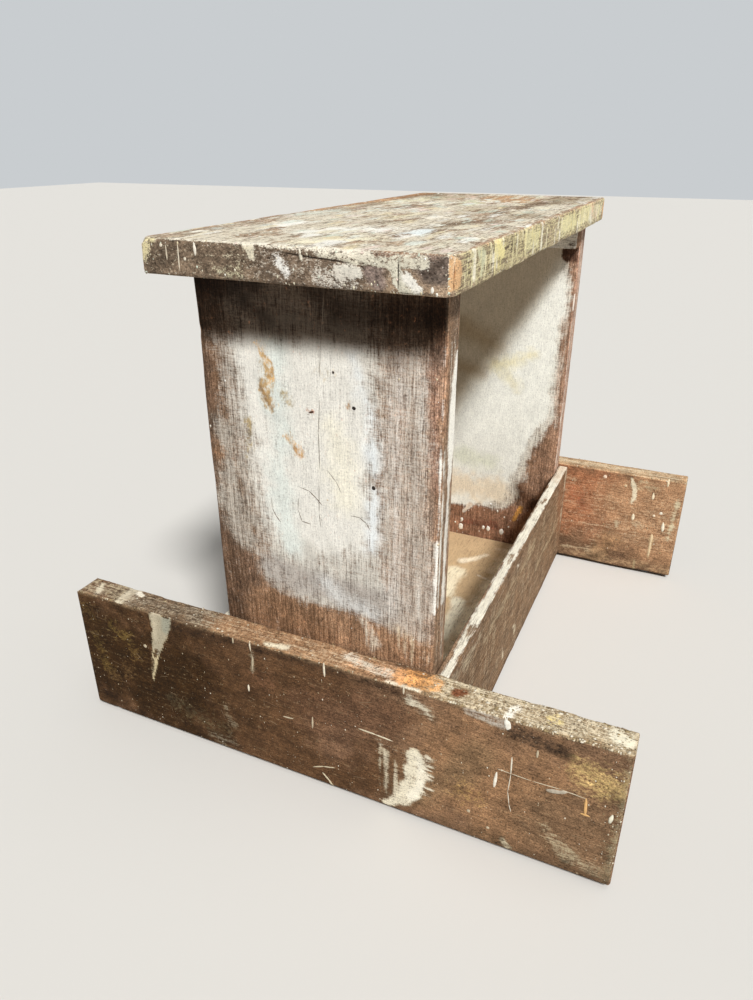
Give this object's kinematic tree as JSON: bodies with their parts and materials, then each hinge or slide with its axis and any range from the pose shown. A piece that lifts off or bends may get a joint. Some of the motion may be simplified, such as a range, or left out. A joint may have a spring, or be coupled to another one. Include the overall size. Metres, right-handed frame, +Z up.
{
  "type": "step stool",
  "caption": "Low step stool of nailed boards: a flat top on end panels, a shallow tray below, and long foot boards across both ends.",
  "frame": {"origin": "on the floor, under the middle of the stool", "axes": "+X along the top board, -X the near end in the picture; -Y the long side that it shows; +Z up"},
  "size_m": [0.538, 0.514, 0.466],
  "materials": {
    "top_board_paint": "old softwood board under many worn coats of cream and white paint",
    "end_panel_paint": "old softwood board, worn white paint over brown, bare at its margins",
    "shelf_wood": "aged bare softwood with paint smears",
    "rail_wood": "aged grey-brown softwood, paint along its top edge",
    "foot_board_wood": "dark aged softwood with paint spatter",
    "cleat_paint": "softwood batten under worn paint",
    "felt": "grey pressed felt",
    "nail_steel": "rusty wire nail"
  },
  "bodies": {
    "root": {"top_board": "top_board_paint", "bottom_shelf": "shelf_wood", "left_end_panel": "end_panel_paint", "right_end_panel": "end_panel_paint", "front_rail": "rail_wood", "back_rail": "rail_wood", "left_foot_board": "foot_board_wood", "right_foot_board": "foot_board_wood", "left_cleat": "cleat_paint", "right_cleat": "cleat_paint", "left_front_pad": "felt", "left_back_pad": "felt", "right_front_pad": "felt", "right_back_pad": "felt", "pad_nails": "nail_steel", "left_top_nails": "nail_steel", "left_foot_nails": "nail_steel", "left_shelf_nails": "nail_steel", "left_cleat_nails": "nail_steel", "left_cleat_top_nails": "nail_steel", "right_top_nails": "nail_steel", "right_foot_nails": "nail_steel", "right_shelf_nails": "nail_steel", "right_cleat_nails": "nail_steel", "right_cleat_top_nails": "nail_steel", "front_rail_nails": "nail_steel", "front_shelf_nails": "nail_steel", "back_rail_nails": "nail_steel", "back_shelf_nails": "nail_steel"}
  },
  "joints": []
}
